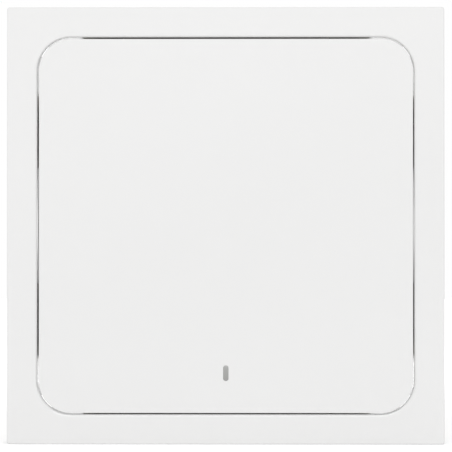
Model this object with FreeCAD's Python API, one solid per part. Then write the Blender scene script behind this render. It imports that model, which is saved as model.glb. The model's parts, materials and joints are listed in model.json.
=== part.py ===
import FreeCAD, Part
import math
import os

# Battery-powered wall switch with one large rocker.
# It is drawn lying on its back: x to the right, y up its face, z out from the wall.
# Each piece is turned upright as it is saved, so that the wall is the plane y = 0.
# Sizes are in millimetres. Pieces are stacked outwards from the wall.

# Cover frame, in plan
plate_size = 80.0
plate_corner = 0.5
plate_edge = 0.15
plate_border = 5.53
opening_corner = 6.2
opening_edge = 0.5
frame_wall = 1.8
frame_front = 1.8
frame_lift = 0.4
frame_inner_corner = 0.4
collar_depth = 5.6
collar_wall = 1.2
collar_start = 19.0
collar_notch_top = 11.8
collar_notch_slope = 0.35
collar_window_deg = 27.0
upper_window_end_deg = 47.0
lower_window_end_deg = 54.0
guide_sink = 0.45
guide_radius = 42.0
guide_reach = 0.17

# Rocker
rocker_gap = 0.28
rocker_sag = 0.05
rocker_lean = 0.05
rocker_proud = 0.2
rocker_wall = 2.0
rocker_edge = 0.06
skirt_wall = 1.4
skirt_drop = 2.1
rib_thickness = 1.0
rib_drop = 1.2
inner_rib_share = 0.3
outer_rib_share = 0.68
pusher_size = 4.0
pusher_drop = 0.35
tilt_limit_deg = 2.2

# Pivot of the rocker
pin_radius = 1.25
pin_clearance = 0.08
pin_tip = 0.4
ear_cover = 0.97
ear_width = 2.8
ear_half = 6.5
ear_top_clearance = 0.5
ear_bottom_drop = 2.7
tab_clearance = 0.3
tab_thickness = 1.7
tab_end_radius = 2.4
tab_root_half = 4.2
pivot_sink = 0.1

# Stack between the wall and the rocker
base_floor = 1.8
board_gap = 1.8
board_thickness = 1.2
room_clearance = 0.25
carrier_thickness = 1.2
stem_proud = 1.4
spring_free_travel = 0.5
spring_button = 0.5
spring_thickness = 0.3
spring_rest_gap = 0.05

# Indicator
lens_width = 0.9
lens_height = 2.8
lens_fit = 0.03
lens_from_edge = 7.27
lens_flange_width = 2.6
lens_flange_height = 4.6
lens_flange_thickness = 0.8
lens_guide_size = 2.0
lens_guide_drop = 2.3
lens_collar_wall = 1.0
lens_collar_clearance = 0.1
light_hole_size = 4.0

# Push switches
lens_to_switch = 5.9
switch_size = 6.0
switch_base_height = 2.8
switch_cover_thickness = 0.3
switch_pocket_radius = 2.3
switch_pocket_floor = 0.6
switch_tab_width = 1.2
switch_tab_drop = 1.2
stem_radius = 1.75
stem_clearance = 0.1
stem_chamfer = 0.3
flange_width = 2.0
flange_length = 4.0
flange_thickness = 0.8
flange_clearance = 0.1
dome_half = 2.0
dome_width = 2.0
dome_height = 0.45
dome_thickness = 0.12
dome_gap = 0.03
dome_foot_share = 0.6
dome_crown_share = 0.25
dome_boss_size = 1.2
stem_window_clearance = 0.75
terminal_width = 0.7
terminal_thickness = 0.2
terminal_reach = 1.3
terminal_spacing = 4.5

# Coin cell and its holder
cell_diameter = 16.0
cell_thickness = 3.2
cell_cap_inset = 1.1
cell_cap_height = 0.5
holder_floor = 0.7
holder_wall = 0.75
holder_clearance = 0.15
holder_wall_height = 2.9
holder_gap_half = 4.2
clip_thickness = 0.25
clip_width = 6.0
clip_reach = 5.2
clip_clearance = 0.2
contact_width = 4.0
contact_length = 9.0
contact_thickness = 0.2
cell_window_clearance = 0.4

# Pivot carrier
arm_margin = 2.7
carrier_corner = 2.0
window_margin = 1.0
rim_thickness = 1.2
rim_drop = 2.2
rim_clearance = 0.6
peg_size = 1.4
peg_head_size = 2.4
peg_head_height = 0.5
peg_place = 2.4
peg_clearance = 0.05

# Centring spring
spring_width = 5.0
spring_root_half = 4.5
spring_tip_start = 5.0
spring_to_collar = 0.5
spring_button_radius = 1.2
spring_bend_radius = 3.0

# Stop pads
pad_width = 4.0
pad_length = 3.0
pad_height = 0.8
pad_recess = 0.4
pad_fit = 0.1
pad_gap = 0.05
pad_from_centre = 18.0
pad_above_switch = 6.0

# Wall base
base_clearance = 1.0
base_wall = 1.6
base_wall_height = 4.8
base_edge = 0.5
corner_cut_across = 13.0
corner_cut_up = 17.4
back_recess = 0.6
back_recess_margin = 3.0
floor_rib_thickness = 1.0
floor_rib_height = 0.8
floor_rib_across = 12.0
floor_rib_up = 15.0

# Screws into the wall, 60 apart: slots along x
slot_inset = 7.2
slot_width = 3.8
slot_length = 7.0
slot_collar_margin = 2.0
slot_collar_height = 0.8

# Snap joint between the frame and the base
snap_place = 13.0
snap_bead_length = 8.0
snap_ledge_length = 10.0
snap_bead_reach = 0.75
snap_ledge_reach = 0.7
snap_clearance = 0.1
snap_bead_height = 1.1
snap_ledge_height = 1.0
snap_slope = 1.0

# Ribs inside the frame and the pry notch at its foot
gusset_reach = 2.5
gusset_height = 4.4
gusset_thickness = 1.0
gusset_place = 26.0
pry_width = 8.0
pry_height = 1.2

# Posts and screws of the carrier
post_size = 5.0
post_rib_thickness = 1.2
post_inset = 1.7
post_above_window = 4.6
post_clearance = 0.3
carrier_screw_radius = 1.0
carrier_screw_length = 6.0
carrier_head_radius = 2.2
carrier_head_height = 1.6
screw_fit = 0.02
hole_clearance = 0.4
blind_depth = 0.8

# Circuit board and its screws
board_margin_up = 4.1
board_margin_across = 0.6
boss_size = 4.0
board_screw_radius = 0.8
board_screw_length = 3.2
board_head_radius = 1.8
board_head_height = 1.3
board_screw_inset = 3.5

# Parts on the board
led_width = 3.2
led_length = 2.8
led_body_height = 1.5
led_window_width = 2.0
led_window_length = 1.8
led_window_height = 0.5
antenna_length = 16.0
antenna_height = 3.6
antenna_width = 2.4
antenna_thickness = 0.3
antenna_leg_gap = 3.0
controller_width = 5.0
controller_length = 7.0
controller_height = 1.2
controller_pins = 5
pin_pitch = 1.27
pin_width = 0.4
pin_reach = 1.0
pin_thickness = 0.15
radio_size = 5.0
radio_height = 0.85
resonator_width = 3.2
resonator_length = 5.0
resonator_height = 1.3
capacitor_base = 4.3
capacitor_radius = 2.0
capacitor_height = 3.8
chip_length = 1.6
chip_width = 0.8
chip_height = 0.5
chip_pitch = 2.4
chip_columns = 4

# Places on the board: across as a share of its half width, up as a share of the switches' height
antenna_across = 0.7
antenna_end = -0.8
controller_across = 0.56
controller_up = 0.33
resonator_across = 0.3
resonator_up = 0.33
radio_across = 0.3
radio_up = -0.35
capacitor_across = 0.6
capacitor_up = 1.0
resistor_rows = ((0.26, 0.67), (-0.66, 1.0))
ceramic_rows = ((0.2, -0.62), (-0.66, -1.0))

# General
small_gap = 0.6
past = 1.0

# Worked out from the sizes above: half sizes in plan
plate_half = plate_size / 2
frame_inner = plate_half - frame_wall
opening_half = plate_half - plate_border
rocker_half = opening_half - rocker_gap
rocker_corner = opening_corner - rocker_gap
skirt_inner = rocker_half - skirt_wall
ear_inner = rocker_half - ear_cover
ear_outer = ear_inner + ear_width
tab_outer = ear_inner - tab_clearance
tab_inner = tab_outer - tab_thickness
tab_window_inner = tab_inner - tab_clearance
tab_window_half = tab_root_half + window_margin
pin_end = ear_outer - pin_tip
base_half = frame_inner - base_clearance
base_inner = base_half - base_wall
slot_x = base_half - slot_inset
lens_y = -(rocker_half - lens_from_edge)
collar_inner_width = lens_flange_width + 2 * lens_collar_clearance
collar_inner_height = lens_flange_height + 2 * lens_collar_clearance
collar_half = collar_inner_height / 2 + lens_collar_wall
press_y = -lens_y - lens_to_switch
pad_y = press_y + pad_above_switch

# Worked out: the cell and the board in plan
cell_radius = cell_diameter / 2
cell_window_radius = cell_radius + cell_window_clearance
holder_inner = cell_radius + holder_clearance
holder_outer = holder_inner + holder_wall
cell_x = -(spring_width / 2 + small_gap + cell_window_radius)
clip_leg_x = cell_x - holder_outer - clip_clearance
board_half_x = -clip_leg_x + clip_thickness + board_margin_across
board_half_y = -lens_y + board_margin_up
board_screw_x = board_half_x - board_screw_inset
board_screw_y = board_half_y - board_screw_inset
carrier_half_x = board_half_x + rim_clearance + rim_thickness
carrier_half_y = board_half_y
post_x = tab_inner - post_inset
post_y = tab_window_half + post_above_window
arm_half = post_y + arm_margin

# Worked out: heights above the wall
board_back = base_floor + board_gap
board_front = board_back + board_thickness
cell_back = board_front + holder_floor
cell_front = cell_back + cell_thickness
part_room = max(
    holder_floor + cell_thickness + clip_thickness,
    switch_base_height + switch_cover_thickness,
    antenna_height,
    capacitor_height,
    board_head_height + rim_drop,
)
carrier_back = board_front + part_room + room_clearance
carrier_front = carrier_back + carrier_thickness
stem_top = carrier_front + stem_proud
button_low = stem_top + spring_free_travel
spring_low = button_low + spring_button
spring_top = spring_low + spring_thickness
rocker_back = spring_top + spring_rest_gap + pusher_drop
rocker_face = rocker_back + rocker_wall
plate_depth = rocker_face - rocker_proud
frame_back = plate_depth - frame_front
skirt_bottom = rocker_back - skirt_drop
rib_bottom = rocker_back - rib_drop
pivot_z = carrier_front - pivot_sink
ear_top = frame_back - ear_top_clearance
ear_bottom = pivot_z - ear_bottom_drop
pad_top = carrier_front + pad_height
stop_travel = (pad_y + pad_length / 2) * math.sin(math.radians(tilt_limit_deg))
stop_bottom = pad_top + stop_travel + pad_gap
base_top = base_floor + base_wall_height

near = 1e-4


def at(x, y, z=0.0):
    return FreeCAD.Vector(x, y, z)


def polygon_face(points):
    corners = [at(*point) for point in points]
    return Part.Face(Part.makePolygon(corners + corners[:1]))


def prism(points, low, high):
    """A flat outline of (x, y) points, from one height to another."""
    return polygon_face([(x, y, low) for x, y in points]).extrude(at(0, 0, high - low))


def bar_along_x(points, low, high):
    """An outline of (y, z) points, from one x to another."""
    return polygon_face([(low, y, z) for y, z in points]).extrude(at(high - low, 0, 0))


def bar_along_y(points, low, high):
    """An outline of (x, z) points, from one y to another."""
    return polygon_face([(x, low, z) for x, z in points]).extrude(at(0, high - low, 0))


def turned(points, x=0.0, y=0.0):
    """A solid of revolution about a line out of the wall, from (radius, z) points."""
    face = polygon_face([(radius, 0, z) for radius, z in points])
    solid = face.revolve(at(0, 0, 0), at(0, 0, 1), 360)
    solid.translate(at(x, y))
    return solid


def disc(radius, low, high, x=0.0, y=0.0):
    return Part.makeCylinder(radius, high - low, at(x, y, low))


def block(x0, x1, y0, y1, low, high):
    return Part.makeBox(x1 - x0, y1 - y0, high - low, at(x0, y0, low))


def brick(width, height, low, high, x=0.0, y=0.0):
    """A block about a middle point."""
    return Part.makeBox(width, height, high - low, at(x - width / 2, y - height / 2, low))


def slab(width, height, radius, low, high, x=0.0, y=0.0):
    """A plate with round corners. A radius of half its width gives it round ends."""
    edges = []
    last = None
    first = None
    for quarter, (side_x, side_y) in enumerate(((1, 1), (-1, 1), (-1, -1), (1, -1))):
        centre = at(x + side_x * (width / 2 - radius), y + side_y * (height / 2 - radius), low)
        start = quarter * math.pi / 2
        circle = Part.Circle(centre, at(0, 0, 1), radius)
        arc = Part.ArcOfCircle(circle, start, start + math.pi / 2)
        if first is None:
            first = arc.StartPoint
        if last is not None and last.distanceToPoint(arc.StartPoint) > near:
            edges.append(Part.makeLine(last, arc.StartPoint))
        edges.append(arc.toShape())
        last = arc.EndPoint
    if last.distanceToPoint(first) > near:
        edges.append(Part.makeLine(last, first))
    return Part.Face(Part.Wire(edges)).extrude(at(0, 0, high - low))


def level_edges(shape, height, reach):
    """The edges that lie at one height, no further out than reach."""
    found = []
    for edge in shape.Edges:
        box = edge.BoundBox
        furthest = max(abs(box.XMin), abs(box.XMax), abs(box.YMin), abs(box.YMax))
        if abs(box.ZMin - height) < near and abs(box.ZMax - height) < near and furthest < reach:
            found.append(edge)
    return found


def four_sides(shape):
    """The shape and its copies on the other three sides."""
    copies = []
    for quarter in range(4):
        copy = shape.copy()
        copy.rotate(at(0, 0, 0), at(0, 0, 1), 90 * quarter)
        copies.append(copy)
    return copies


def both_ways(shape, normal):
    """The shape and its mirror image."""
    return [shape, shape.mirror(at(0, 0, 0), normal)]


def four_corners(x, y):
    return [(side_x * x, side_y * y) for side_x in (-1, 1) for side_y in (-1, 1)]


def save(node, shape):
    """Turn a piece upright and write it to its own file."""
    whole = shape.removeSplitter()
    whole.rotate(at(0, 0, 0), at(1, 0, 0), 90)
    whole.exportStep(os.path.join("parts", node + ".step"))


# Cover frame

def make_cover_frame():
    body = slab(plate_size, plate_size, plate_corner, frame_lift, plate_depth)
    body = body.makeChamfer(plate_edge, level_edges(body, plate_depth, plate_size))
    inside = 2 * frame_inner
    body = body.cut(slab(inside, inside, frame_inner_corner, frame_lift - past, frame_back))
    window = 2 * opening_half
    body = body.cut(slab(window, window, opening_corner, frame_back - past, plate_depth + past))
    lip = level_edges(body, plate_depth, opening_half + near)
    body = body.makeFillet(opening_edge, lip)
    notch = block(-pry_width / 2, pry_width / 2, -plate_half - past, -frame_inner + past,
                  frame_lift - past, frame_lift + pry_height)
    added = frame_beads() + frame_gussets() + frame_collars() + frame_guides()
    return body.cut(notch).fuse(added)


def frame_beads():
    """Beads on the inner walls that snap behind the ledges of the base."""
    top = base_top - snap_ledge_height - snap_clearance
    low = top - snap_bead_height
    tip = frame_inner - snap_bead_reach
    outline = ((frame_inner + small_gap, low - snap_slope), (frame_inner, low - snap_slope),
               (tip, low), (tip, top), (frame_inner + small_gap, top))
    beads = []
    for middle in (-snap_place, snap_place):
        bead = bar_along_y(outline, middle - snap_bead_length / 2, middle + snap_bead_length / 2)
        beads += four_sides(bead)
    return beads


def frame_collars():
    """Short walls behind the corners of the opening, with a window that widens to the back."""
    low = plate_depth - collar_depth
    high = frame_back + frame_front / 2
    outer = 2 * (opening_half + collar_wall)
    ring = slab(outer, outer, opening_corner + collar_wall, low, high)
    ring = ring.cut(slab(2 * opening_half, 2 * opening_half, opening_corner, low - past, high + past))
    cuts = [brick(2 * collar_start, plate_size, low - past, high + past),
            brick(plate_size, 2 * collar_start, low - past, high + past)]
    centre = opening_half - opening_corner
    run = (collar_notch_top - low + past) / collar_notch_slope
    for side_x, side_y in four_corners(1, 1):
        end_deg = upper_window_end_deg if side_y > 0 else lower_window_end_deg
        middle = math.radians((collar_window_deg + end_deg) / 2)
        half = opening_corner * math.sin(math.radians((end_deg - collar_window_deg) / 2))
        outward = at(side_x * math.cos(middle), side_y * math.sin(middle), 0)
        across = at(-side_x * math.sin(middle), side_y * math.cos(middle), 0)
        start = at(side_x * centre, side_y * centre, 0) - outward * opening_corner
        outline = []
        for aside, level in ((-half, frame_back), (half, frame_back), (half, collar_notch_top),
                             (half + run, low - past), (-half - run, low - past),
                             (-half, collar_notch_top)):
            outline.append(start + across * aside + at(0, 0, level))
        notch = Part.Face(Part.makePolygon(outline + outline[:1]))
        cuts.append(notch.extrude(outward * plate_half))
    return ring.cut(cuts).Solids


def frame_guides():
    """Crowned guides halfway up both sides of the opening, which centre the rocker."""
    inner = opening_half - guide_reach
    disc = Part.makeCylinder(guide_radius, guide_reach + small_gap,
                             at(inner, 0, plate_depth - guide_sink - guide_radius), at(1, 0, 0))
    room = block(inner, opening_half + small_gap, -guide_radius, guide_radius,
                 frame_back, plate_depth)
    return both_ways(disc.common(room), at(1, 0, 0))


def frame_gussets():
    """Small triangular ribs between the side walls and the front."""
    outline = ((frame_inner - gusset_reach, frame_back + small_gap),
               (frame_inner - gusset_reach, frame_back),
               (frame_inner, frame_back - gusset_height),
               (frame_inner + small_gap, frame_back - gusset_height),
               (frame_inner + small_gap, frame_back + small_gap))
    gussets = []
    for middle in (-gusset_place, gusset_place):
        gusset = bar_along_y(outline, middle - gusset_thickness / 2, middle + gusset_thickness / 2)
        gussets += four_sides(gusset)
    return gussets


# Rocker and its lens

def resting(shape):
    """The rocker and its lens lie low and to one side in the play of the pivot."""
    return shape.translated(at(rocker_lean, -rocker_sag, 0))


def make_rocker():
    width = 2 * rocker_half
    body = slab(width, width, rocker_corner, skirt_bottom, rocker_face)
    body = body.makeChamfer(rocker_edge, level_edges(body, rocker_face, width))
    hollow = 2 * skirt_inner
    inner_corner = rocker_corner - skirt_wall
    body = body.cut(slab(hollow, hollow, inner_corner, skirt_bottom - past, rocker_back))
    ear_notch_half = ear_half + window_margin
    notch = block(skirt_inner - small_gap, rocker_half + past, -ear_notch_half, ear_notch_half,
                  skirt_bottom - past, rocker_back)
    body = body.cut(both_ways(notch, at(1, 0, 0)))
    body = body.fuse(rocker_ribs() + rocker_tabs() + rocker_feet())
    slot = slab(lens_width + 2 * lens_fit, lens_height + 2 * lens_fit, lens_width / 2 + lens_fit,
                rocker_back - past, rocker_face + past, 0, lens_y)
    return resting(body.cut(slot))


def rocker_ribs():
    """Stiffening ribs under the push face."""
    inner_rib_x = tab_inner * inner_rib_share
    outer_rib_x = tab_inner * outer_rib_share
    cross_rib_y = post_y + carrier_head_radius + rib_thickness + small_gap
    top = rocker_back + small_gap
    ribs = []
    for middle in (-outer_rib_x, -inner_rib_x, inner_rib_x, outer_rib_x):
        ribs.append(block(middle - rib_thickness / 2, middle + rib_thickness / 2,
                          -skirt_inner - small_gap, skirt_inner + small_gap, rib_bottom, top))
    for middle in (-cross_rib_y, cross_rib_y):
        rib = block(inner_rib_x, skirt_inner + small_gap,
                    middle - rib_thickness / 2, middle + rib_thickness / 2, rib_bottom, top)
        ribs += both_ways(rib, at(1, 0, 0))
    return ribs


def rocker_tabs():
    """The two tabs inside the ears, each with a stub pin that turns in its ear."""
    root = rocker_back + small_gap
    taper = ((-tab_root_half, root), (-tab_end_radius, pivot_z),
             (tab_end_radius, pivot_z), (tab_root_half, root))
    tab = bar_along_x(taper, tab_inner, tab_outer)
    middle = at(tab_inner, 0, pivot_z)
    tab_end = Part.makeCylinder(tab_end_radius, tab_thickness, middle, at(1, 0, 0))
    shank = pin_end - pin_tip - tab_outer
    pin = Part.makeCylinder(pin_radius, shank + small_gap, at(tab_outer - small_gap, 0, pivot_z),
                            at(1, 0, 0))
    tip = Part.makeCone(pin_radius, pin_radius - pin_tip, pin_tip,
                        at(pin_end - pin_tip, 0, pivot_z), at(1, 0, 0))
    side = tab.fuse([tab_end, pin, tip])
    return both_ways(side, at(1, 0, 0))


def rocker_feet():
    """Pads that push the spring, feet that meet the stop pads, and the collar of the lens."""
    root = rocker_back + small_gap
    feet = []
    for side in (-1, 1):
        feet.append(brick(pusher_size, pusher_size, rocker_back - pusher_drop, root,
                          0, side * press_y))
    for x, y in four_corners(pad_from_centre, pad_y):
        feet.append(brick(pad_width - pad_fit, pad_length - pad_fit, stop_bottom, root, x, y))
    collar = brick(collar_inner_width + 2 * lens_collar_wall, 2 * collar_half, rib_bottom, root,
                   0, lens_y)
    pocket = brick(collar_inner_width, collar_inner_height, rib_bottom - past, rocker_back, 0, lens_y)
    feet.append(collar.cut(pocket))
    return feet


def make_indicator_lens():
    """A stepped light guide: a slim window in the push face, a flange behind it and a stem."""
    window = slab(lens_width, lens_height, lens_width / 2,
                  rocker_back - small_gap, rocker_face, 0, lens_y)
    flange = brick(lens_flange_width, lens_flange_height,
                   rocker_back - lens_flange_thickness, rocker_back, 0, lens_y)
    guide = brick(lens_guide_size, lens_guide_size, rocker_back - lens_guide_drop,
                  rocker_back - lens_flange_thickness / 2, 0, lens_y)
    return resting(window.fuse([flange, guide]))


# Pivot carrier and what it holds

def make_pivot_carrier():
    plate = slab(2 * carrier_half_x, 2 * carrier_half_y, carrier_corner, carrier_back, carrier_front)
    arms = brick(2 * ear_outer, 2 * arm_half, carrier_back, carrier_front)
    ear = brick(ear_width, 2 * ear_half, ear_bottom, ear_top, ear_inner + ear_width / 2)
    body = plate.fuse([arms, carrier_rim()] + both_ways(ear, at(1, 0, 0)))
    body = body.cut(carrier_openings())
    return body.fuse([spring_peg(side * peg_place) for side in (-1, 1)])


def carrier_rim():
    """A stiffening rim towards the wall, outside the circuit board."""
    outer = slab(2 * carrier_half_x, 2 * carrier_half_y, carrier_corner,
                 carrier_back - rim_drop, carrier_back + small_gap)
    low = carrier_back - rim_drop - past
    inner = brick(2 * (carrier_half_x - rim_thickness), 2 * (carrier_half_y - rim_thickness),
                  low, carrier_back)
    return outer.cut([inner] + post_rooms(low, carrier_back))


def carrier_openings():
    """Windows for the tabs, cell, stems and light, the pin bores and the screw holes."""
    low = carrier_back - past
    high = carrier_front + past
    window = block(tab_window_inner, ear_inner, -tab_window_half, tab_window_half,
                   ear_bottom - past, ear_top + past)
    bore = Part.makeCylinder(pin_radius + pin_clearance, ear_width + 2 * small_gap,
                             at(ear_inner - small_gap, 0, pivot_z), at(1, 0, 0))
    ramp_low = pivot_z + pin_radius
    ramp = bar_along_y(((ear_inner - small_gap, ramp_low), (ear_inner, ramp_low),
                        (ear_inner + small_gap, ear_top), (ear_inner + small_gap, ear_top + past),
                        (ear_inner - small_gap, ear_top + past)), -pin_radius, pin_radius)
    openings = []
    for shape in (window, bore, ramp):
        openings += both_ways(shape, at(1, 0, 0))
    openings.append(slab(2 * cell_window_radius, 2 * cell_window_radius, carrier_corner,
                         low, high, cell_x, 0))
    openings.append(brick(light_hole_size, light_hole_size, low, high, 0, lens_y))
    stem_window = 2 * (stem_radius + stem_window_clearance)
    for side in (-1, 1):
        openings.append(brick(stem_window, stem_window, low, high, 0, side * press_y))
    for x, y in four_corners(post_x, post_y):
        openings.append(disc(carrier_screw_radius + hole_clearance, low, high, x, y))
    for x, y in four_corners(pad_from_centre, pad_y):
        openings.append(brick(pad_width + 2 * pad_fit, pad_length + 2 * pad_fit,
                              carrier_front - pad_recess, high, x, y))
    return openings


def spring_peg(y):
    """A moulded peg whose melted head holds the spring down."""
    head_low = carrier_front + spring_thickness
    peg = brick(peg_size, peg_size, carrier_front - small_gap, head_low, 0, y)
    return peg.fuse(brick(peg_head_size, peg_head_size, head_low, head_low + peg_head_height, 0, y))


def make_stop_pads():
    """Soft pads set into the carrier, which end the rocker's travel."""
    return Part.makeCompound([brick(pad_width, pad_length, carrier_front - pad_recess, pad_top, x, y)
                              for x, y in four_corners(pad_from_centre, pad_y)])


def make_centring_spring():
    """One formed steel strip: a flat root on the carrier and two arms under the rocker."""
    rise_end = press_y - spring_tip_start
    tip_end = -lens_y - collar_half - spring_to_collar
    root_low = carrier_front
    root_top = root_low + spring_thickness
    lower = [(-tip_end, spring_low), (-rise_end, spring_low), (-spring_root_half, root_low),
             (spring_root_half, root_low), (rise_end, spring_low), (tip_end, spring_low)]
    upper = [(tip_end, spring_top), (rise_end, spring_top), (spring_root_half, root_top),
             (-spring_root_half, root_top), (-rise_end, spring_top), (-tip_end, spring_top)]
    half_width = spring_width / 2
    strip = bar_along_x(lower + upper, -half_width, half_width)
    bends = []
    for edge in strip.Edges:
        box = edge.BoundBox
        across = box.XLength > spring_width / 2
        if across and abs(box.YMin) < tip_end - near:
            bends.append(edge)
    strip = strip.makeFillet(spring_bend_radius, bends)
    hole_size = peg_size + 2 * peg_clearance
    holes = [brick(hole_size, hole_size, root_low - past, root_top + past, 0, side * peg_place)
             for side in (-1, 1)]
    buttons = []
    for side in (-1, 1):
        buttons.append(disc(spring_button_radius, button_low, spring_low, 0, side * press_y))
    return strip.cut(holes).fuse(buttons)


# Wall base

def cut_square(inset):
    """The outline of the base: a square with its corners cut off, moved in by an inset."""
    half = base_half - inset
    slope = math.hypot(1 / corner_cut_across, 1 / corner_cut_up)
    line = base_half / corner_cut_across + base_half / corner_cut_up - 1 - inset * slope
    side_end = corner_cut_up * (line - half / corner_cut_across)
    top_end = corner_cut_across * (line - half / corner_cut_up)
    points = []
    for side_x, side_y in ((1, 1), (-1, 1), (-1, -1), (1, -1)):
        on_side = (side_x * half, side_y * side_end)
        on_end = (side_x * top_end, side_y * half)
        points += [on_side, on_end] if side_x == side_y else [on_end, on_side]
    return points


def make_wall_base():
    floor = prism(cut_square(0), 0, base_floor)
    floor = floor.makeChamfer(base_edge, level_edges(floor, 0, plate_size))
    wall = prism(cut_square(0), base_floor, base_top)
    wall = wall.cut(prism(cut_square(base_wall), base_floor - past, base_top + past))
    body = floor.fuse([wall] + base_ledges() + base_posts() + base_bosses() + base_ribs()
                      + slot_collars())
    return body.cut(base_cuts())


def base_ledges():
    """Ledges round the wall that the beads of the frame snap behind."""
    low = base_top - snap_ledge_height
    tip = base_half + snap_ledge_reach
    outline = ((base_half - small_gap, low), (tip, low), (tip, low + snap_ledge_height / 3),
               (base_half, base_top), (base_half - small_gap, base_top))
    ledges = []
    for middle in (-snap_place, snap_place):
        ledge = bar_along_y(outline, middle - snap_ledge_length / 2, middle + snap_ledge_length / 2)
        ledges += four_sides(ledge)
    return ledges


def base_posts():
    """Four posts that carry the carrier, each tied to the side wall by a rib."""
    posts = []
    for x, y in four_corners(post_x, post_y):
        posts.append(brick(post_size, post_size, base_floor - small_gap, carrier_back, x, y))
        wall_x = math.copysign(base_inner + small_gap, x)
        posts.append(block(min(x, wall_x), max(x, wall_x), y - post_rib_thickness / 2,
                           y + post_rib_thickness / 2, base_floor - small_gap, base_top))
    return posts


def post_rooms(low, high):
    """Room for the posts, for the pieces inside them in a small plate."""
    size = post_size + 2 * post_clearance
    return [brick(size, size, low, high, x, y) for x, y in four_corners(post_x, post_y)]


def base_bosses():
    return [brick(boss_size, boss_size, base_floor - small_gap, board_back, x, y)
            for x, y in four_corners(board_screw_x, board_screw_y)]


def board_screw_places():
    """Two opposite corners of the board are screwed down, and the other two only rest."""
    return [(-board_screw_x, board_screw_y), (board_screw_x, -board_screw_y)]


def base_ribs():
    """Low ribs across the floor."""
    low = base_floor - small_gap
    high = base_floor + floor_rib_height
    half = floor_rib_thickness / 2
    ribs = []
    for middle in (-floor_rib_across, floor_rib_across):
        ribs.append(block(middle - half, middle + half, -base_inner, base_inner, low, high))
    for middle in (-floor_rib_up, floor_rib_up):
        ribs.append(block(-base_inner, base_inner, middle - half, middle + half, low, high))
    return ribs


def slot_collars():
    """Raised rims round the wall screw slots, kept within the walls."""
    length = slot_length + 2 * slot_collar_margin
    width = slot_width + 2 * slot_collar_margin
    low = base_floor - small_gap
    high = base_floor + slot_collar_height
    inside = prism(cut_square(base_wall / 2), low, high)
    return [brick(length, width, low, high, side * slot_x).common(inside)
            for side in (-1, 1)]


def base_cuts():
    """The wall screw slots, the screw holes and the shallow recess in the back."""
    cuts = []
    for side in (-1, 1):
        cuts.append(slab(slot_length, slot_width, slot_width / 2, -past, base_top,
                         side * slot_x))
    for x, y in four_corners(post_x, post_y):
        hole_low = carrier_front - carrier_screw_length - blind_depth
        cuts.append(disc(carrier_screw_radius + screw_fit, hole_low, carrier_back + past, x, y))
    for x, y in board_screw_places():
        hole_low = board_front - board_screw_length - blind_depth / 2
        cuts.append(disc(board_screw_radius + screw_fit, hole_low, board_back + past, x, y))
    recess_x = slot_x - slot_length / 2 - back_recess_margin
    recess_y = base_inner - back_recess_margin
    cuts.append(brick(2 * recess_x, 2 * recess_y, -past, back_recess))
    return cuts


# Screws

def pan_screw(x, y, seat, radius, length, head_radius, head_height):
    """A pan-head screw that goes in towards the wall."""
    outline = ((0, seat - length), (radius, seat - length), (radius, seat), (head_radius, seat),
               (head_radius, seat + head_height), (0, seat + head_height))
    return turned(outline, x, y)


def make_carrier_screws():
    return Part.makeCompound([
        pan_screw(x, y, carrier_front, carrier_screw_radius, carrier_screw_length,
                  carrier_head_radius, carrier_head_height)
        for x, y in four_corners(post_x, post_y)])


def make_board_screws():
    return Part.makeCompound([
        pan_screw(x, y, board_front, board_screw_radius, board_screw_length,
                  board_head_radius, board_head_height)
        for x, y in board_screw_places()])


# Circuit board

def make_circuit_board():
    board = brick(2 * board_half_x, 2 * board_half_y, board_back, board_front)
    holes = [disc(board_screw_radius + hole_clearance, board_back - past, board_front + past, x, y)
             for x, y in board_screw_places()]
    return board.cut(holes + post_rooms(board_back - past, board_front + past))


# Push switches, each at its own height up the board

def make_switch_base(y):
    top = board_front + switch_base_height
    body = brick(switch_size, switch_size, board_front, top, 0, y)
    floor = board_front + switch_pocket_floor
    return body.cut(disc(switch_pocket_radius, floor, top + past, 0, y))


def make_switch_cover(y):
    """A metal plate over the base, held by a bent tab at each end."""
    low = board_front + switch_base_height
    top = low + switch_cover_thickness
    half = switch_size / 2
    plate = brick(switch_size, switch_size, low, top, 0, y)
    tabs = []
    for side in (-1, 1):
        near_y = y + side * half
        far_y = y + side * (half + switch_cover_thickness)
        tabs.append(block(-switch_tab_width / 2, switch_tab_width / 2, min(near_y, far_y),
                          max(near_y, far_y), low - switch_tab_drop, top))
    return plate.fuse(tabs).cut(disc(stem_radius + stem_clearance, low - past, top + past, 0, y))


def make_switch_dome(y):
    """A thin bowed snap strip on the floor of the pocket."""
    floor = board_front + switch_pocket_floor
    crown = floor + dome_height
    thick = dome_thickness
    foot = dome_half
    inner = dome_half * dome_foot_share
    top = dome_half * dome_crown_share
    outline = ((y - foot, floor), (y - inner, floor), (y - top, crown - thick),
               (y + top, crown - thick), (y + inner, floor), (y + foot, floor),
               (y + foot, floor + thick), (y + inner, floor + thick), (y + top, crown),
               (y - top, crown), (y - inner, floor + thick), (y - foot, floor + thick))
    return bar_along_x(outline, -dome_width / 2, dome_width / 2)


def make_switch_plunger(y):
    """A round stem with a flat flange under the metal cover and a boss on the dome."""
    flange_top = board_front + switch_base_height - flange_clearance
    flange_low = flange_top - flange_thickness
    boss_low = board_front + switch_pocket_floor + dome_height + dome_gap
    outline = ((0, flange_low), (stem_radius, flange_low), (stem_radius, stem_top - stem_chamfer),
               (stem_radius - stem_chamfer, stem_top), (0, stem_top))
    flange = brick(flange_width, flange_length, flange_low, flange_top, 0, y)
    boss = brick(dome_boss_size, dome_boss_size, boss_low, flange_low, 0, y)
    return turned(outline, 0, y).fuse([flange, boss])


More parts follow.
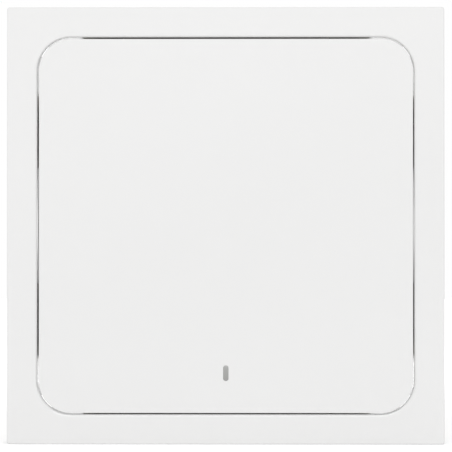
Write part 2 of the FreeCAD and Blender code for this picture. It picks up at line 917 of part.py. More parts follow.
def make_switch_terminals(y):
    """Four bent leads at the sides of a switch."""
    half = switch_size / 2
    top = board_front + 3 * terminal_thickness
    knee = half + terminal_reach / 3
    outline = ((half, top - terminal_thickness), (half, top), (knee + terminal_thickness, top),
               (knee + terminal_thickness, board_front + terminal_thickness),
               (half + terminal_reach, board_front + terminal_thickness),
               (half + terminal_reach, board_front), (knee, board_front),
               (knee, top - terminal_thickness))
    leads = []
    for side in (-1, 1):
        middle = y + side * terminal_spacing / 2
        lead = bar_along_y(outline, middle - terminal_width / 2, middle + terminal_width / 2)
        leads += both_ways(lead, at(1, 0, 0))
    return Part.makeCompound(leads)


# Coin cell and its holder

def make_coin_cell():
    cap_radius = cell_radius - cell_cap_inset
    shoulder = cell_back + cell_cap_height
    outline = ((0, cell_back), (cap_radius, cell_back), (cap_radius, shoulder),
               (cell_radius, shoulder), (cell_radius, cell_front), (0, cell_front))
    return turned(outline, cell_x, 0)


def make_cell_holder():
    """A cradle with a round pocket, open at both ends and cut out for the lower contact."""
    top = board_front + holder_wall_height
    body = brick(2 * holder_outer, 2 * holder_outer, board_front, top, cell_x, 0)
    pocket = disc(holder_inner, cell_back, top + past, cell_x, 0)
    gap = block(cell_x - holder_gap_half, cell_x + holder_gap_half, -holder_outer - past,
                holder_outer + past, cell_back, top + past)
    slot = block(cell_x - contact_length / 2 - small_gap, cell_x + contact_length / 2 + small_gap,
                 -contact_width / 2 - small_gap, contact_width / 2 + small_gap,
                 board_front - past, cell_back + past)
    return body.cut([pocket, gap, slot] + post_rooms(board_front - past, top + past))


def make_cell_clip():
    """A bent strip from the board, over the edge of the cell."""
    outer = clip_leg_x - clip_thickness
    end = clip_leg_x + clip_reach
    outline = ((outer, board_front), (clip_leg_x, board_front), (clip_leg_x, cell_front),
               (end, cell_front), (end, cell_front + clip_thickness),
               (outer, cell_front + clip_thickness))
    return bar_along_y(outline, -clip_width / 2, clip_width / 2)


def make_cell_lower_contact():
    """A sprung strip under the cell, bowed up to touch it."""
    half = contact_length / 2
    low = board_front
    high = cell_back
    rise = half / 2
    tip = half / 6
    thick = contact_thickness
    outline = ((cell_x - half, low), (cell_x - rise, low), (cell_x - tip, high - thick),
               (cell_x + tip, high - thick), (cell_x + rise, low), (cell_x + half, low),
               (cell_x + half, low + thick), (cell_x + rise, low + thick), (cell_x + tip, high),
               (cell_x - tip, high), (cell_x - rise, low + thick), (cell_x - half, low + thick))
    return bar_along_y(outline, -contact_width / 2, contact_width / 2)


# Other parts on the board

def make_status_led():
    body_top = board_front + led_body_height
    body = brick(led_width, led_length, board_front, body_top, 0, lens_y)
    window = brick(led_window_width, led_window_length, body_top - small_gap,
                   body_top + led_window_height, 0, lens_y)
    return body.fuse(window)


def make_antenna_strip():
    """A bent metal strip that stands on the board on two legs."""
    x = board_half_x * antenna_across
    end = press_y * antenna_end
    low = board_front
    high = low + antenna_height
    far = end + antenna_length
    thick = antenna_thickness
    outline = ((end, low), (end, high), (far, high), (far, high - thick),
               (end + antenna_leg_gap + thick, high - thick), (end + antenna_leg_gap + thick, low),
               (end + antenna_leg_gap, low), (end + antenna_leg_gap, high - thick),
               (end + thick, high - thick), (end + thick, low))
    return bar_along_x(outline, x - antenna_width / 2, x + antenna_width / 2)


def make_controller_chip():
    """A chip with a row of bent pins on two sides."""
    x = board_half_x * controller_across
    y = press_y * controller_up
    low = board_front + pin_thickness
    body = brick(controller_width, controller_length, low, board_front + controller_height, x, y)
    half = controller_width / 2
    knee = half + pin_reach / 2
    mid = board_front + controller_height / 2
    outline = ((half - small_gap, mid - pin_thickness), (knee - pin_thickness, mid - pin_thickness),
               (knee - pin_thickness, board_front), (half + pin_reach, board_front),
               (half + pin_reach, board_front + pin_thickness), (knee, board_front + pin_thickness),
               (knee, mid), (half - small_gap, mid))
    leads = []
    for index in range(controller_pins):
        middle = (index - (controller_pins - 1) / 2) * pin_pitch
        lead = bar_along_y(outline, middle - pin_width / 2, middle + pin_width / 2)
        leads += both_ways(lead, at(1, 0, 0))
    for lead in leads:
        lead.translate(at(x, y))
    return body.fuse(leads)


def make_radio_chip():
    """A flat leadless chip."""
    return brick(radio_size, radio_size, board_front, board_front + radio_height,
                 board_half_x * radio_across, press_y * radio_up)


def make_resonator_can():
    """A drawn metal can on a flat foot."""
    x = board_half_x * resonator_across
    y = press_y * resonator_up
    foot_top = board_front + resonator_height / 4
    foot = brick(resonator_width, resonator_length, board_front, foot_top, x, y)
    can = brick(resonator_width - small_gap, resonator_length - small_gap,
                board_front, board_front + resonator_height, x, y)
    return foot.fuse(can)


def make_reservoir_capacitor():
    """A wound can on a square foot."""
    x = board_half_x * capacitor_across
    y = press_y * capacitor_up
    foot_top = board_front + small_gap
    foot = brick(capacitor_base, capacitor_base, board_front, foot_top, x, y)
    top = board_front + capacitor_height
    outline = ((0, foot_top - small_gap / 2), (capacitor_radius, foot_top - small_gap / 2),
               (capacitor_radius, top), (0, top))
    return foot.fuse(turned(outline, x, y))


def chip_part(x, y):
    return brick(chip_length, chip_width, board_front, board_front + chip_height, x, y)


def chip_rows(rows):
    parts = []
    for across, up in rows:
        for index in range(chip_columns):
            parts.append(chip_part(board_half_x * across + index * chip_pitch, press_y * up))
    return Part.makeCompound(parts)


def make_chip_resistors():
    return chip_rows(resistor_rows)


def make_chip_capacitors():
    return chip_rows(ceramic_rows)


pieces = {
    "cover_frame": make_cover_frame,
    "rocker": make_rocker,
    "indicator_lens": make_indicator_lens,
    "pivot_carrier": make_pivot_carrier,
    "stop_pads": make_stop_pads,
    "centring_spring": make_centring_spring,
    "wall_base": make_wall_base,
    "carrier_screws": make_carrier_screws,
    "board_screws": make_board_screws,
    "circuit_board": make_circuit_board,
    "coin_cell": make_coin_cell,
    "cell_holder": make_cell_holder,
    "cell_clip": make_cell_clip,
    "cell_lower_contact": make_cell_lower_contact,
    "status_led": make_status_led,
    "antenna_strip": make_antenna_strip,
    "controller_chip": make_controller_chip,
    "radio_chip": make_radio_chip,
    "resonator_can": make_resonator_can,
    "reservoir_capacitor": make_reservoir_capacitor,
    "chip_resistors": make_chip_resistors,
    "chip_capacitors": make_chip_capacitors,
}

switch_pieces = {
    "base": make_switch_base,
    "cover": make_switch_cover,
    "dome": make_switch_dome,
    "plunger": make_switch_plunger,
    "terminals": make_switch_terminals,
}

os.makedirs("parts", exist_ok=True)
for node, make in pieces.items():
    save(node, make())
for place, side in (("upper", 1), ("lower", -1)):
    for name, make in switch_pieces.items():
        save(place + "_switch_" + name, make(side * press_y))
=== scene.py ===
import bpy
import bmesh
import json
import math
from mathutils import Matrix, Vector


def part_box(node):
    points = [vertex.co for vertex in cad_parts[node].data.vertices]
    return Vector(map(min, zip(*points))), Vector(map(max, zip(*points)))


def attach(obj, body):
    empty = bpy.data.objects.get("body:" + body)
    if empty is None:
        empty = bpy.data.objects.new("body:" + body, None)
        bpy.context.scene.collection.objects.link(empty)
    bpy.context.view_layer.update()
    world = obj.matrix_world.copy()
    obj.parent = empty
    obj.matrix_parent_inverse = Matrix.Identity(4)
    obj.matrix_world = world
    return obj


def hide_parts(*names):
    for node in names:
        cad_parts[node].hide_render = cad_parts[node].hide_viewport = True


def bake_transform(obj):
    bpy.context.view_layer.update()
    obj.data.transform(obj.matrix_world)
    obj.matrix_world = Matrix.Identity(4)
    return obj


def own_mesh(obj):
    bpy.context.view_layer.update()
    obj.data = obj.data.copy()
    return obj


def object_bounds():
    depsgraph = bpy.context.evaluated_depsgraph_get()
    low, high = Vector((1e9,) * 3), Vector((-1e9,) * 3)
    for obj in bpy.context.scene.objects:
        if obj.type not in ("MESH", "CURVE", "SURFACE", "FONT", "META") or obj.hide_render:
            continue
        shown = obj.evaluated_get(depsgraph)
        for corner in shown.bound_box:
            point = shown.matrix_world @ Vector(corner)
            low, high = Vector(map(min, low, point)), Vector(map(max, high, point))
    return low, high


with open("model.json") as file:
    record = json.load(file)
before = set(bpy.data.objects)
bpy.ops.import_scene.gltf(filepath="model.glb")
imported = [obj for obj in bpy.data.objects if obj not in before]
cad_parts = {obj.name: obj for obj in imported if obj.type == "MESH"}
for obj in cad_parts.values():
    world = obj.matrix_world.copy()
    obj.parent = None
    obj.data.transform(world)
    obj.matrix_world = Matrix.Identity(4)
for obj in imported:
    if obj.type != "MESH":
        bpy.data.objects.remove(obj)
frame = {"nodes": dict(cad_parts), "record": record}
cadLow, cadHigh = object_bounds()  # the box of the solids, before anything is dressed
cadNodes = frame["nodes"]
mm = 0.001
pureWhite = (1, 1, 1, 1)


# small helpers for the node trees

noiseMiddle = (0.3, 0.7)  # most values of a noise lie between these
noiseDetail = {"soft": 2.0, "plain": 3.0, "fine": 4.0}  # how finely a noise is broken up


def freshTree(owner, outputKind):
    # the empty node tree of a material or of the world, and the input of its output
    owner.use_nodes = True
    nodes = owner.node_tree.nodes
    nodes.clear()
    return nodes, owner.node_tree.links, nodes.new(outputKind).inputs["Surface"]


def freshMaterial(name):
    # a material with nothing but its shader, already joined to the output
    material = bpy.data.materials.new(name)
    nodes, links, surface = freshTree(material, "ShaderNodeOutputMaterial")
    shader = nodes.new("ShaderNodeBsdfPrincipled")
    links.new(shader.outputs["BSDF"], surface)
    return material, nodes, links, shader


def placeOnPiece(nodes):
    return nodes.new("ShaderNodeTexCoord").outputs["Object"]  # metres, in the frame of the part


def alongAxis(nodes, links, place, axis):
    parts = nodes.new("ShaderNodeSeparateXYZ")
    links.new(place, parts.inputs["Vector"])
    return parts.outputs[axis]


def combine(nodes, links, operation, first, second):
    # the product of two values, or the greater one
    join = nodes.new("ShaderNodeMath")
    join.operation = operation
    links.new(first, join.inputs[0])
    links.new(second, join.inputs[1])
    return join.outputs["Value"]


def grainNoise(nodes, links, place, grainSize, detail="plain"):
    noise = nodes.new("ShaderNodeTexNoise")
    noise.inputs["Scale"].default_value = 1.0 / grainSize
    noise.inputs["Detail"].default_value = noiseDetail[detail]
    links.new(place, noise.inputs["Vector"])
    return noise.outputs["Fac"]


def spread(nodes, links, value, wanted, given=noiseMiddle):
    # stretches a value from the range it is given in over the range that is wanted
    ranger = nodes.new("ShaderNodeMapRange")
    ranger.inputs["From Min"].default_value = given[0]
    ranger.inputs["From Max"].default_value = given[1]
    ranger.inputs["To Min"].default_value = wanted[0]
    ranger.inputs["To Max"].default_value = wanted[1]
    links.new(value, ranger.inputs["Value"])
    return ranger.outputs["Result"]


def twoTones(nodes, links, value, tones):
    # a colour between two tones, picked by a noise value
    ramp = nodes.new("ShaderNodeValToRGB")
    for element, position, tone in zip(ramp.color_ramp.elements, noiseMiddle, tones):
        element.position = position
        element.color = (*tone, 1.0)
    links.new(value, ramp.inputs["Fac"])
    return ramp.outputs["Color"]


def colourAndGloss(nodes, links, shader, choice, toneNoise, roughNoise):
    # the two tones and the roughness of a finish, each led by a noise
    tone = twoTones(nodes, links, toneNoise, (choice["tone"], choice["otherTone"]))
    rough = spread(nodes, links, roughNoise, choice["rough"])
    links.new(tone, shader.inputs["Base Color"])
    links.new(rough, shader.inputs["Roughness"])


def roughSkin(nodes, links, shader, height, depth):
    bump = nodes.new("ShaderNodeBump")
    bump.inputs["Distance"].default_value = depth
    links.new(height, bump.inputs["Height"])
    links.new(bump.outputs["Normal"], shader.inputs["Normal"])


# moulded plastics

mouldedWhite = {
    "tone": (0.866, 0.865, 0.861),
    "otherTone": (0.857, 0.856, 0.852),  # faint flow marks of the moulding
    "flowSize": 0.030,
    "rough": (0.14, 0.18),
    "grainSize": 0.00022,  # spark-eroded skin of the mould
    "grainDepth": 0.000004,
    "specular": 0.5,
}

mouldedInner = {
    "tone": (0.86, 0.825, 0.745),  # uncoloured plastic, a little warm
    "otherTone": (0.83, 0.795, 0.715),
    "flowSize": 0.018,
    "rough": (0.48, 0.60),
    "grainSize": 0.00030,
    "grainDepth": 0.000008,
    "specular": 0.4,
}

mouldedBlack = {
    "tone": (0.018, 0.018, 0.019),
    "otherTone": (0.028, 0.028, 0.029),
    "flowSize": 0.004,
    "rough": (0.42, 0.55),
    "grainSize": 0.00018,
    "grainDepth": 0.000006,
    "specular": 0.5,
}


def plasticFrom(name, choice):
    material, nodes, links, shader = freshMaterial(name)
    place = placeOnPiece(nodes)
    flow = grainNoise(nodes, links, place, choice["flowSize"], "soft")
    grain = grainNoise(nodes, links, place, choice["grainSize"], "fine")
    colourAndGloss(nodes, links, shader, choice, flow, grain)
    shader.inputs["Specular IOR Level"].default_value = choice["specular"]
    roughSkin(nodes, links, shader, grain, choice["grainDepth"])
    return material


# the light window: milky plastic, a little deeper in tone towards its foot, with a highlight painted
# on its very top

lightWindow = {
    "topTone": (0.412, 0.412, 0.402),
    "footTone": (0.344, 0.344, 0.336),
    "paintedHighlightTone": (0.540, 0.540, 0.530),  # painted highlight: its very top is lighter, where light would catch it
    "paintedHighlightFrom": 0.86,  # share of the way up, above which the painted highlight begins
    "shadeHalf": 0.0014,  # the tones run from this far below its middle to this far above
    "rough": 0.28,
    "cloudSize": 0.0012,
    "cloudDepth": 0.000002,
}


def milkyWindow(name, choice):
    material, nodes, links, shader = freshMaterial(name)
    place = placeOnPiece(nodes)
    low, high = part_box("indicator_lens")
    middle = (low.z + high.z) / 2
    shadeBand = (middle - choice["shadeHalf"], middle + choice["shadeHalf"])
    upDown = spread(nodes, links, alongAxis(nodes, links, place, "Z"), (0.0, 1.0), shadeBand)
    shade = nodes.new("ShaderNodeValToRGB")
    shade.color_ramp.elements[0].color = (*choice["footTone"], 1.0)
    shade.color_ramp.elements[1].color = (*choice["paintedHighlightTone"], 1.0)
    # the lighter stop near the top is a painted highlight
    shade.color_ramp.elements.new(choice["paintedHighlightFrom"]).color = (*choice["topTone"], 1.0)
    links.new(upDown, shade.inputs["Fac"])
    links.new(shade.outputs["Color"], shader.inputs["Base Color"])
    shader.inputs["Roughness"].default_value = choice["rough"]
    cloud = grainNoise(nodes, links, place, choice["cloudSize"])
    roughSkin(nodes, links, shader, cloud, choice["cloudDepth"])
    return material


# metals: fine lines that run one way, and duller patches

metalSkin = {
    "wornSize": 0.004,  # of the duller patches
    "lineDepth": 0.000003,
}

springSteel = {
    "tone": (0.52, 0.52, 0.50),
    "otherTone": (0.42, 0.42, 0.41),
    "rough": (0.22, 0.34),
    "lineSize": 0.00012,
    "along": (1, 1, 14),  # how far the lines are drawn out, by axis
}

zincScrew = {
    "tone": (0.56, 0.57, 0.58),
    "otherTone": (0.44, 0.46, 0.48),
    "rough": (0.28, 0.42),
    "lineSize": 0.00020,
    "along": (1, 1, 1),  # grains in place of lines
}

nickelCan = {
    "tone": (0.62, 0.61, 0.59),
    "otherTone": (0.52, 0.51, 0.49),
    "rough": (0.18, 0.32),
    "lineSize": 0.00025,
    "along": (9, 1, 1),
}

tinnedStrip = {
    "tone": (0.62, 0.60, 0.56),
    "otherTone": (0.52, 0.50, 0.46),
    "rough": (0.30, 0.45),
    "lineSize": 0.00020,
    "along": (1, 1, 6),
}

drawnAluminium = {
    "tone": (0.66, 0.67, 0.69),
    "otherTone": (0.56, 0.57, 0.60),
    "rough": (0.25, 0.38),
    "lineSize": 0.00015,
    "along": (1, 8, 1),
}


def metalFrom(name, choice):
    material, nodes, links, shader = freshMaterial(name)
    place = placeOnPiece(nodes)
    stretched = nodes.new("ShaderNodeMapping")
    stretched.inputs["Scale"].default_value = [1.0 / part for part in choice["along"]]
    links.new(place, stretched.inputs["Vector"])
    lines = grainNoise(nodes, links, stretched.outputs["Vector"], choice["lineSize"], "fine")
    worn = grainNoise(nodes, links, place, metalSkin["wornSize"])
    colourAndGloss(nodes, links, shader, choice, worn, lines)
    shader.inputs["Metallic"].default_value = 1.0
    roughSkin(nodes, links, shader, lines, metalSkin["lineDepth"])
    return material


# spotted finishes inside: rubber, the lamp, chips and ceramic

padRubber = {
    "tone": (0.022, 0.022, 0.022),
    "otherTone": (0.045, 0.044, 0.042),  # dust
    "rough": (0.75, 0.92),
    "spotSize": 0.0004,
    "spotDepth": 0.00001,
}

lampBody = {
    "tone": (0.78, 0.74, 0.55),
    "otherTone": (0.86, 0.78, 0.42),  # phosphor under the clear resin
    "rough": (0.22, 0.35),
    "spotSize": 0.0008,
    "spotDepth": 0.000002,
}

chipEpoxy = {
    "tone": (0.022, 0.022, 0.024),
    "otherTone": (0.034, 0.034, 0.036),
    "rough": (0.50, 0.68),
    "spotSize": 0.0003,
    "spotDepth": 0.000006,
}

firedCeramic = {
    "tone": (0.23, 0.15, 0.09),
    "otherTone": (0.30, 0.21, 0.13),  # specks of the firing
    "rough": (0.45, 0.62),
    "spotSize": 0.0003,
    "spotDepth": 0.000004,
}


def spottedFrom(name, choice):
    material, nodes, links, shader = freshMaterial(name)
    spots = grainNoise(nodes, links, placeOnPiece(nodes), choice["spotSize"], "fine")
    colourAndGloss(nodes, links, shader, choice, spots, spots)
    roughSkin(nodes, links, shader, spots, choice["spotDepth"])
    return material


# the circuit board: glass weave under the solder mask, as a faint relief

boardMask = {
    "tone": (0.010, 0.085, 0.030),
    "otherTone": (0.020, 0.120, 0.045),
    "rough": (0.25, 0.38),
    "cloudSize": 0.005,
    "weaveSize": 0.0006,  # from thread to thread
    "weaveWander": 0.4,
    "weaveDepth": 0.000006,
}
waveRadians = 20  # the wave texture runs this far in one unit at a scale of 1


def maskedBoard(name, choice):
    material, nodes, links, shader = freshMaterial(name)
    place = placeOnPiece(nodes)
    threads = []
    for direction in ("X", "Z"):
        wave = nodes.new("ShaderNodeTexWave")
        wave.bands_direction = direction
        wave.inputs["Scale"].default_value = 2 * math.pi / waveRadians / choice["weaveSize"]
        wave.inputs["Distortion"].default_value = choice["weaveWander"]
        links.new(place, wave.inputs["Vector"])
        threads.append(wave.outputs["Fac"])
    weave = combine(nodes, links, "MULTIPLY", *threads)
    cloud = grainNoise(nodes, links, place, choice["cloudSize"])
    colourAndGloss(nodes, links, shader, choice, cloud, cloud)
    roughSkin(nodes, links, shader, weave, choice["weaveDepth"])
    return material


finishes = {
    "white_plastic": plasticFrom("whiteMouldedPlastic", mouldedWhite),
    "inner_plastic": plasticFrom("innerMouldedPlastic", mouldedInner),
    "black_plastic": plasticFrom("blackMouldedPlastic", mouldedBlack),
    "stem_plastic": plasticFrom("stemPlastic", mouldedBlack),
    "lens_plastic": milkyWindow("milkyLightWindow", lightWindow),
    "spring_steel": metalFrom("rolledSpringSteel", springSteel),
    "screw_steel": metalFrom("zincPlatedScrews", zincScrew),
    "cell_steel": metalFrom("nickelPlatedCan", nickelCan),
    "contact_metal": metalFrom("tinnedStrip", tinnedStrip),
    "capacitor_aluminium": metalFrom("drawnAluminium", drawnAluminium),
    "pad_rubber": spottedFrom("stopPadRubber", padRubber),
    "board_laminate": maskedBoard("boardSolderMask", boardMask),
    "led_plastic": spottedFrom("lampBody", lampBody),
    "chip_plastic": spottedFrom("chipEpoxy", chipEpoxy),
    "chip_ceramic": spottedFrom("firedCeramic", firedCeramic),
}

slotOf = {row["node"]: row["material_slot"] for row in frame["record"]["subparts"]}
for nodeName, piece in cadNodes.items():
    finish = finishes[slotOf[nodeName]]
    if not piece.material_slots:
        piece.data.materials.append(finish)
    for held in piece.material_slots:
        held.material = finish
print("finishes set on", len(cadNodes), "pieces")


# helpers for pieces that stand for a solid

joinWithin = 0.001 * mm  # points nearer than this become one
cutWithin = 0.0001 * mm  # a cut goes through points nearer than this


def surfaceOf(nodeName):
    # the surface of a solid as an editable mesh, with the seams of the import joined
    grid = bmesh.new()
    grid.from_mesh(cadNodes[nodeName].data)
    bmesh.ops.remove_doubles(grid, verts=grid.verts, dist=joinWithin)
    return grid


def inScene(name, data):
    thing = bpy.data.objects.new(name, data)
    bpy.context.scene.collection.objects.link(thing)
    return thing


def pieceFrom(grid, name, nodeName, smoothBelow):
    # a new piece that takes the place and the finish of a solid
    mesh = bpy.data.meshes.new(name)
    grid.to_mesh(mesh)
    grid.free()
    mesh.polygons.foreach_set("use_smooth", [True] * len(mesh.polygons))
    mesh.set_sharp_from_angle(angle=math.radians(smoothBelow))
    mesh.materials.clear()
    mesh.materials.append(finishes[slotOf[nodeName]])
    piece = inScene(name, mesh)
    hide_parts(nodeName)
    return piece


# the spring, split into two halves with cuts across each arm

leafSpring = {
    "rootHalf": 0.0045,  # half of the flat root, which stays on the carrier
    "crossCuts": 0.0009,  # spacing of the cuts across an arm
    "buttonRoom": 0.0013,  # the stretch of arm before its button
    "smoothBelow": 35.0,  # degrees between faces
}


def cutAcross(grid, height, clearBelow=False, clearAbove=False):
    whole = grid.verts[:] + grid.edges[:] + grid.faces[:]
    bmesh.ops.bisect_plane(
        grid, geom=whole, dist=cutWithin, plane_co=(0, 0, height), plane_no=(0, 0, 1),
        clear_inner=clearBelow, clear_outer=clearAbove,
    )


def springArm(side, name, choice):
    # one half of the leaf, its arm cut across at even steps
    low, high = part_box("centring_spring")
    grid = surfaceOf("centring_spring")
    cutAcross(grid, 0.0, clearBelow=side > 0, clearAbove=side < 0)
    bmesh.ops.holes_fill(grid, edges=[edge for edge in grid.edges if edge.is_boundary])
    cuts = int((high.z - choice["rootHalf"]) / choice["crossCuts"])
    for step in range(1, cuts + 1):
        cutAcross(grid, side * (choice["rootHalf"] + step * choice["crossCuts"]))
    piece = pieceFrom(grid, name, "centring_spring", choice["smoothBelow"])
    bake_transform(piece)


springArm(1, "upperSpringArm", leafSpring)
springArm(-1, "lowerSpringArm", leafSpring)


# the thin snap domes under the plungers

switchDomes = {
    "smoothBelow": 35.0,
}


def snapDome(place, choice):
    # a copy of the dome's surface, held by the base, with a mesh of its own
    nodeName = place + "_switch_dome"
    piece = pieceFrom(surfaceOf(nodeName), place + "SnapDome", nodeName, choice["smoothBelow"])
    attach(piece, "base")
    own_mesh(piece)


for place in ("upper", "lower"):
    snapDome(place, switchDomes)
print("spring and domes ready")


# turned pieces: the screws and the coin cell, built ring by ring from front to back


def frontMiddle(low, high):
    return Vector(((low.x + high.x) / 2, low.y, (low.z + high.z) / 2))


def ringRound(grid, centre, segments, radiusAt, depthAt):
    # one ring of points round an axis that runs into the wall
    ring = []
    for step in range(segments):
        turn = 2 * math.pi * step / segments
        radius = radiusAt(turn)
        x = centre.x + radius * math.cos(turn)
        z = centre.z + radius * math.sin(turn)
        ring.append(grid.verts.new((x, centre.y + depthAt(turn), z)))
    return ring


def closeRings(grid, centre, rings, frontDepth, backDepth):
    # faces between neighbouring rings, and a fan at either end
    for first, second in zip(rings, rings[1:]):
        for step in range(len(first)):
            after = (step + 1) % len(first)
            grid.faces.new((first[step], first[after], second[after], second[step]))
    for ring, depth in ((rings[0], frontDepth), (rings[-1], backDepth)):
        tip = grid.verts.new((centre.x, centre.y + depth, centre.z))
        for step in range(len(ring)):
            grid.faces.new((ring[step], ring[(step + 1) % len(ring)], tip))
    bmesh.ops.recalc_face_normals(grid, faces=grid.faces[:])


def separateBoxes(nodeName):
    # the box of each loose solid of a node, as its lowest and highest corners
    grid = surfaceOf(nodeName)
    boxes = []
    done = set()
    for first in grid.verts:
        if first in done:
            continue
        done.add(first)
        island = [first]
        for vertex in island:
            for edge in vertex.link_edges:
                other = edge.other_vert(vertex)
                if other not in done:
                    done.add(other)
                    island.append(other)
        lows = [min(vertex.co[axis] for vertex in island) for axis in range(3)]
        highs = [max(vertex.co[axis] for vertex in island) for axis in range(3)]
        boxes.append((Vector(lows), Vector(highs)))
    grid.free()
    return boxes


# pan-head screws with a cross recess and a cut thread

panScrew = {
    "segments": 64,
    "crownShare": 0.78,  # the flat middle of the head, of its radius
    "crownRings": 12,
    "rimDrop": 0.45,  # height of the round rim, of the head
    "rimRings": 5,
    "bevelFrom": 0.93,  # where the bevel of the underside starts, of the head height
    "bevelTo": 0.97,  # the underside within it, of the head radius
    "crossHalf": 0.15,  # half width of an arm of the recess, of the head radius
    "crossReach": 0.62,  # length of an arm, of the head radius
    "crossSides": 0.8,  # width of its sloping side walls, of that half width
    "crossEnds": 1.6,  # and of its sloping ends
    "crossDeep": 0.55,  # of the head height
    "threadDeep": 0.24,  # of the shank radius
    "stepsPerTurn": 6,
    "tipLength": 0.0007,
    "tipRadius": 0.35,  # of the shank radius
    "smoothBelow": 35.0,
}
screwSizes = {
    "carrier_screws": {"headHeight": 0.0016, "shankRadius": 0.0010, "pitch": 0.0008},
    "board_screws": {"headHeight": 0.0013, "shankRadius": 0.0008, "pitch": 0.0006},
}


def crossDepth(across, along, choice):
    # how deep the recess is at a point of the head, as a share of its depth
    half = choice["crossHalf"]
    narrow = min(abs(across), abs(along))
    wide = max(abs(across), abs(along))
    sideWall = ((1 + choice["crossSides"] / 2) * half - narrow) / (choice["crossSides"] * half)
    endWall = (choice["crossReach"] - wide) / (choice["crossEnds"] * half)
    return max(0.0, min(1.0, sideWall, endWall))


def threadCut(turn, depth, pitch):
    # 0 on the crest of the thread, 1 at its root
    return abs(2 * ((depth / pitch + turn / (2 * math.pi)) % 1) - 1)


def addScrew(grid, low, high, size, choice):
    centre = frontMiddle(low, high)
    headRadius = (high.x - low.x) / 2
    headHeight = size["headHeight"]
    shank = size["shankRadius"]
    pitch = size["pitch"]
    length = high.y - low.y
    rings = []

    def addRing(radiusAt, depthAt):
        rings.append(ringRound(grid, centre, choice["segments"], radiusAt, depthAt))

    deep = choice["crossDeep"] * headHeight
    for step in range(1, choice["crownRings"] + 1):
        share = choice["crownShare"] * step / choice["crownRings"]
        addRing(
            lambda turn: share * headRadius,
            lambda turn: deep * crossDepth(share * math.cos(turn), share * math.sin(turn), choice),
        )
    rim = 1 - choice["crownShare"]
    for step in range(1, choice["rimRings"] + 1):
        lean = math.radians(90 * step / choice["rimRings"])
        radius = headRadius * (choice["crownShare"] + rim * math.sin(lean))
        drop = headHeight * choice["rimDrop"] * (1 - math.cos(lean))
        addRing(lambda turn: radius, lambda turn: drop)
    addRing(lambda turn: headRadius, lambda turn: choice["bevelFrom"] * headHeight)
    addRing(lambda turn: choice["bevelTo"] * headRadius, lambda turn: headHeight)
    addRing(lambda turn: shank, lambda turn: headHeight)
    depth = headHeight
    while depth < length - choice["tipLength"]:
        depth += pitch / choice["stepsPerTurn"]
        left = length - depth
        taper = min(1.0, choice["tipRadius"] + (1 - choice["tipRadius"]) * left / choice["tipLength"])
        addRing(
            lambda turn: shank * taper * (1 - choice["threadDeep"] * threadCut(turn, depth, pitch)),
            lambda turn: depth,
        )
    addRing(lambda turn: shank * choice["tipRadius"], lambda turn: length)
    closeRings(grid, centre, rings, deep, length)


def makeScrews(nodeName, name, choice):
    grid = bmesh.new()
    for low, high in separateBoxes(nodeName):
        addScrew(grid, low, high, screwSizes[nodeName], choice)
    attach(pieceFrom(grid, name, nodeName, choice["smoothBelow"]), "base")


makeScrews("carrier_screws", "carrierPanScrews", panScrew)
makeScrews("board_screws", "boardPanScrews", panScrew)


# the coin cell: a drawn can, crimped over the ring that holds its smaller cap

coinCell = {
    "segments": 128,
    "roundSteps": 6,  # of each quarter round edge
    "frontRound": 0.0005,  # edge of the flat face
    "crimpRound": 0.0006,  # where the can is rolled in
    "capInset": 0.0011,
    "capHeight": 0.0005,
    "capRound": 0.0002,
    "ringGroove": 0.00025,  # width and depth of the groove round the cap
    "smoothBelow": 35.0,
}


def quarterRound(radius, depth, reach, start, steps):
    # radius and depth along a round edge: its middle, its reach, and its start in degrees
    leans = [math.radians(start + 90 * step / steps) for step in range(steps + 1)]
    return [(radius + reach * math.sin(lean), depth - reach * math.cos(lean)) for lean in leans]


def makeCell(choice):
    low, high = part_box("coin_cell")
    centre = frontMiddle(low, high)
    outer = (high.x - low.x) / 2
    length = high.y - low.y
    shoulder = length - choice["capHeight"]
    cap = outer - choice["capInset"]
    groove = choice["ringGroove"]
    front = choice["frontRound"]
    crimp = choice["crimpRound"]
    edge = choice["capRound"]
    steps = choice["roundSteps"]
    profile = quarterRound(outer - front, front, front, 0, steps)
    profile += quarterRound(outer - crimp, shoulder - crimp, crimp, 90, steps)
    profile += [(cap + groove, shoulder), (cap + groove, shoulder - groove), (cap, shoulder - groove)]
    profile += quarterRound(cap - edge, length - edge, edge, 90, steps)
    grid = bmesh.new()
    rings = []
    for radius, depth in profile:
        ring = ringRound(grid, centre, choice["segments"], lambda turn: radius, lambda turn: depth)
        rings.append(ring)
    closeRings(grid, centre, rings, 0.0, length)
    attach(pieceFrom(grid, "crimpedCell", "coin_cell", choice["smoothBelow"]), "base")


makeCell(coinCell)
print("screws and cell ready")


# studio: pale floor, white surroundings, soft lamps

studio = {
    "floorSize": 6.0,
    "floorCuts": 8,
    "floorTone": (0.88, 0.88, 0.88),
    "openLift": 0.66,  # light of its own, seen by the camera and in reflections only
    "shadowLift": 0.24,  # less of it beside and behind the part, where its shadow lies
    "faceBand": (-0.022, -0.013),  # across the foot of the face, front to back
    "nearBand": (0.15, 0.45),  # distance from the middle of the part
    "roomForCamera": 1.0,
    "roomOnPart": 0.69,
    "keyPlace": (-0.01, -0.52, 0.32),
    "keyAim": (0, -0.015, 0),
    "keySize": 0.30,
    "keyPower": 1.08,
    "backPlace": (0.10, 0.60, 0.30),
    "backAim": (0, 0, 0),
    "backSize": 0.40,
    "backPower": 1.0,
}


def seenOnly(nodes, links):
    # 1 for rays of the camera, of reflections and through clear plastic, 0 for the rest
    path = nodes.new("ShaderNodeLightPath")
    seen = path.outputs["Is Camera Ray"]
    for other in ("Is Glossy Ray", "Is Transmission Ray"):
        seen = combine(nodes, links, "MAXIMUM", seen, path.outputs[other])
    return seen


def whiteAround(nodes, strength):
    around = nodes.new("ShaderNodeBackground")
    around.inputs["Color"].default_value = pureWhite
    around.inputs["Strength"].default_value = strength
    return around.outputs["Background"]


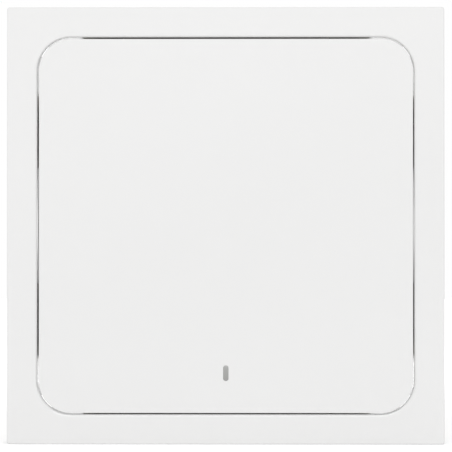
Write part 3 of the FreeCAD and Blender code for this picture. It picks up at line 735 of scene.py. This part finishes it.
def setRoom(choice):
    world = bpy.data.worlds.new("whiteRoom")
    bpy.context.scene.world = world
    nodes, links, surface = freshTree(world, "ShaderNodeOutputWorld")
    mix = nodes.new("ShaderNodeMixShader")
    links.new(seenOnly(nodes, links), mix.inputs["Fac"])
    links.new(whiteAround(nodes, choice["roomOnPart"]), mix.inputs[1])
    links.new(whiteAround(nodes, choice["roomForCamera"]), mix.inputs[2])
    links.new(mix.outputs["Shader"], surface)


def palePaper(choice):
    # matt paper with some light of its own, less of it where the part's shadow lies
    material = bpy.data.materials.new("palePaper")
    nodes, links, surface = freshTree(material, "ShaderNodeOutputMaterial")
    place = placeOnPiece(nodes)
    behind = spread(nodes, links, alongAxis(nodes, links, place, "Y"), (0.0, 1.0), choice["faceBand"])
    away = nodes.new("ShaderNodeVectorMath")
    away.operation = "LENGTH"
    links.new(place, away.inputs[0])
    near = spread(nodes, links, away.outputs["Value"], (1.0, 0.0), choice["nearBand"])
    shaded = combine(nodes, links, "MULTIPLY", behind, near)
    ownLight = spread(nodes, links, shaded, (choice["openLift"], choice["shadowLift"]), (0.0, 1.0))
    glow = nodes.new("ShaderNodeEmission")
    glow.inputs["Color"].default_value = pureWhite
    seenLight = combine(nodes, links, "MULTIPLY", seenOnly(nodes, links), ownLight)
    links.new(seenLight, glow.inputs["Strength"])
    paper = nodes.new("ShaderNodeBsdfDiffuse")
    paper.inputs["Color"].default_value = (*choice["floorTone"], 1.0)
    both = nodes.new("ShaderNodeAddShader")
    links.new(paper.outputs["BSDF"], both.inputs[0])
    links.new(glow.outputs["Emission"], both.inputs[1])
    links.new(both.outputs["Shader"], surface)
    return material


def layFloor(choice, height):
    mesh = bpy.data.meshes.new("paleFloor")
    grid = bmesh.new()
    cuts = choice["floorCuts"]
    bmesh.ops.create_grid(grid, x_segments=cuts, y_segments=cuts, size=choice["floorSize"] / 2)
    grid.to_mesh(mesh)
    grid.free()
    floor = inScene("paleFloor", mesh)
    floor.location.z = height
    mesh.materials.append(palePaper(choice))


def hangLamp(name, place, aim, size, power):
    data = bpy.data.lights.new(name, "AREA")
    data.shape = "SQUARE"
    data.size = size
    data.energy = power
    lamp = inScene(name, data)
    lamp.location = place
    lamp.rotation_mode = "QUATERNION"
    lamp.rotation_quaternion = (Vector(aim) - Vector(place)).to_track_quat("-Z", "Y")
    lamp.visible_camera = False


setRoom(studio)
layFloor(studio, cadLow.z)
hangLamp("frontKey", studio["keyPlace"], studio["keyAim"], studio["keySize"], studio["keyPower"])
hangLamp("backFill", studio["backPlace"], studio["backAim"], studio["backSize"], studio["backPower"])
print("studio ready")


# camera, nearly square to the face

cameraView = {
    "distance": 0.600,
    "turnRight": 0.77,  # degrees to the right of straight on
    "turnBelow": 0.77,  # degrees below it
    "shownWidth": 0.08262,  # of the plane of the frame front
    "aimX": 0.00008,
    "aimZ": -0.00008,
    "sensor": 36.0,
    "clipNear": 0.01,
    "clipFar": 20.0,
}


def setCamera(choice, face):
    data = bpy.data.cameras.new("frontCamera")
    data.sensor_width = choice["sensor"]
    data.lens = choice["sensor"] / choice["shownWidth"] * choice["distance"]
    data.clip_start = choice["clipNear"]
    data.clip_end = choice["clipFar"]
    camera = inScene("frontCamera", data)
    aim = Vector((choice["aimX"], face, choice["aimZ"]))
    side = math.radians(choice["turnRight"])
    down = math.radians(choice["turnBelow"])
    back = Vector((math.sin(side) * math.cos(down), -math.cos(side) * math.cos(down), -math.sin(down)))
    camera.location = aim + back * choice["distance"]
    camera.rotation_mode = "QUATERNION"
    camera.rotation_quaternion = (-back).to_track_quat("-Z", "Y")
    bpy.context.scene.camera = camera


setCamera(cameraView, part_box("cover_frame")[0].y)
bpy.context.scene.view_settings.view_transform = "Standard"
print("camera ready")
